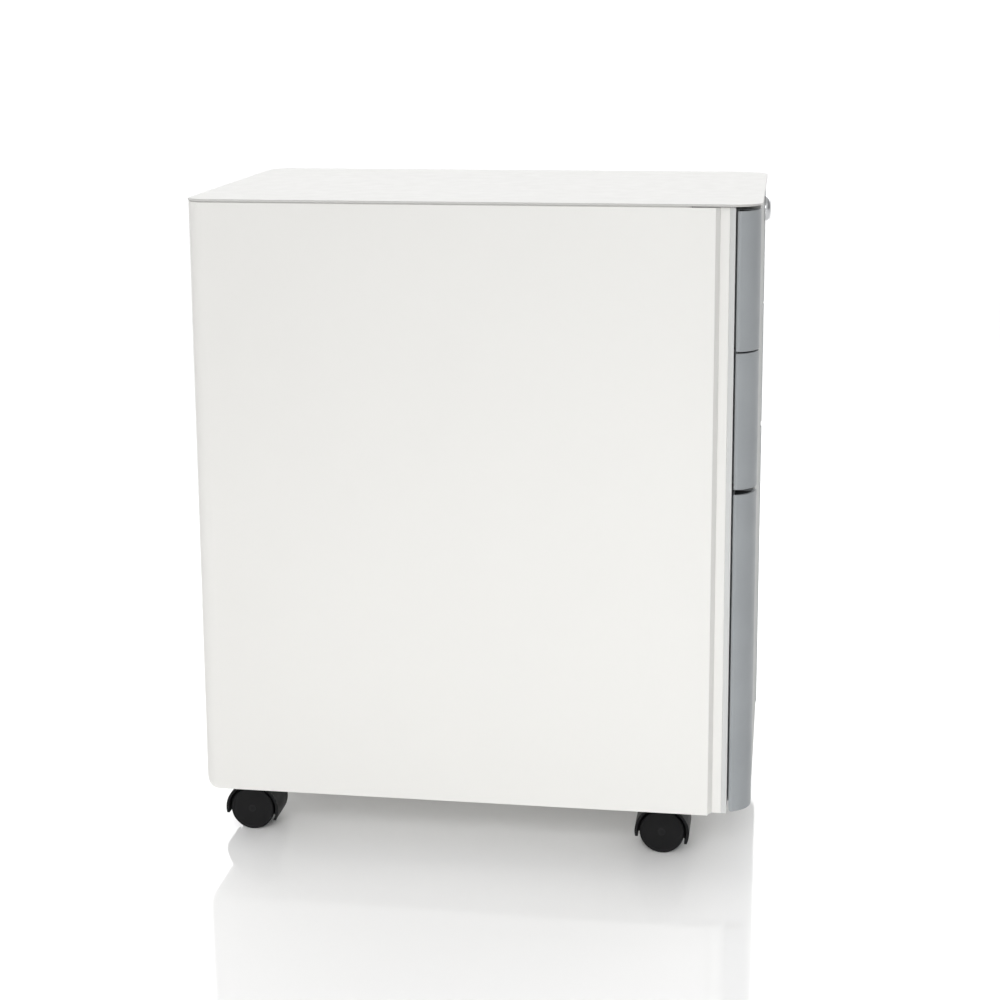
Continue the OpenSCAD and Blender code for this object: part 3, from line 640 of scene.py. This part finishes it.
def make_camera():
    """Looks along +X, turned by the yaw, down by the pitch, and rolled a little."""
    data = bpy.data.cameras.new("camera")
    data.sensor_width = SENSOR_MM
    data.lens = LENS_MM
    data.shift_y = SHIFT_UP
    data.clip_end = 100.0
    forward = Vector((math.cos(YAW) * math.cos(PITCH), math.sin(YAW) * math.cos(PITCH), -math.sin(PITCH)))
    right = Vector((math.sin(YAW), -math.cos(YAW), 0.0))
    down = forward.cross(right)
    r2 = right * math.cos(ROLL) + down * math.sin(ROLL)
    d2 = down * math.cos(ROLL) - right * math.sin(ROLL)
    camera = bpy.data.objects.new("camera", data)
    columns = Matrix((r2, -d2, -forward)).transposed().to_4x4()
    camera.matrix_world = Matrix.Translation(CAMERA_AT) @ columns
    bpy.context.scene.collection.objects.link(camera)
    bpy.context.scene.camera = camera


def make_floor():
    """Pale glossy floor, a hair below the wheels."""
    mat, tree, shader, coords = node_material("floor", (0.95, 0.95, 0.95), 0.06, ior=1.55)
    haze = noise(tree, coords, 3.0, 3.0)
    tree.links.new(remap(tree, haze, 0.3, 0.7, 0.05, 0.075), shader.inputs["Roughness"])
    bm = bmesh.new()
    bmesh.ops.create_grid(bm, x_segments=2, y_segments=2, size=FLOOR_SIZE)
    mesh = bpy.data.meshes.new("floor")
    bm.to_mesh(mesh)
    bm.free()
    floor = bpy.data.objects.new("floor", mesh)
    floor.location.z = -FLOOR_DROP
    mesh.materials.append(mat)
    bpy.context.scene.collection.objects.link(floor)


def area_light(name, at, aim, size, power, spread=180.0):
    """A rectangular lamp of a size in metres and a power in watts; spread is in degrees."""
    data = bpy.data.lights.new(name, "AREA")
    data.shape = "RECTANGLE"
    data.size, data.size_y = size
    data.energy = power
    data.spread = math.radians(spread)
    light = bpy.data.objects.new(name, data)
    light.location = at
    light.rotation_euler = (Vector(aim) - Vector(at)).to_track_quat("-Z", "Y").to_euler()
    bpy.context.scene.collection.objects.link(light)


def make_world():
    """A white studio: brightest beyond the cabinet, dimmer overhead, behind it and before its drawers."""
    world = bpy.data.worlds.new("studio")
    world.use_nodes = True
    bpy.context.scene.world = world
    tree = world.node_tree
    back = tree.nodes["Background"]
    back.inputs["Color"].default_value = (1.0, 1.0, 1.0, 1)
    direction = tree.nodes.new("ShaderNodeTexCoord").outputs["Generated"]
    axes = tree.nodes.new("ShaderNodeSeparateXYZ")
    tree.links.new(direction, axes.inputs[0])
    x, y, z = axes.outputs  # each from -1 to 1, by the direction looked in

    def combined(operation, a, b):
        n = tree.nodes.new("ShaderNodeMath")
        n.operation = operation
        for socket, value in zip(n.inputs, (a, b)):
            if isinstance(value, float):
                socket.default_value = value
            else:
                tree.links.new(value, socket)
        return n.outputs[0]

    band = combined("MULTIPLY", remap(tree, z, 0.18, 0.36, 0.0, 1.0), remap(tree, z, 0.6, 0.8, 1.0, 0.0))
    wall = combined("ADD", combined("MULTIPLY", remap(tree, x, 0.35, 0.8, 0.0, 2.05), band),
                    remap(tree, x, 0.2, 0.7, 0.0, 0.33))
    behind = remap(tree, y, 0.3, 0.9, 0.0, -0.28)
    ahead = remap(tree, y, -0.85, -0.5, -0.6, 0.0)
    ceiling = remap(tree, z, 0.55, 0.8, 0.93, 0.6)
    total = combined("ADD", combined("ADD", wall, behind), combined("ADD", ahead, ceiling))
    tree.links.new(total, back.inputs["Strength"])


make_camera()
make_floor()
make_world()
area_light("key", (-3.2, 0.35, 1.6), (0, 0, 0.3), (2.4, 1.5), 22.0)
area_light("floor_fill", (-1.6, 0.0, 1.0), (-0.3, 0.0, 0.0), (1.2, 0.5), 0.8, spread=50.0)
bpy.context.scene.view_settings.view_transform = "Standard"
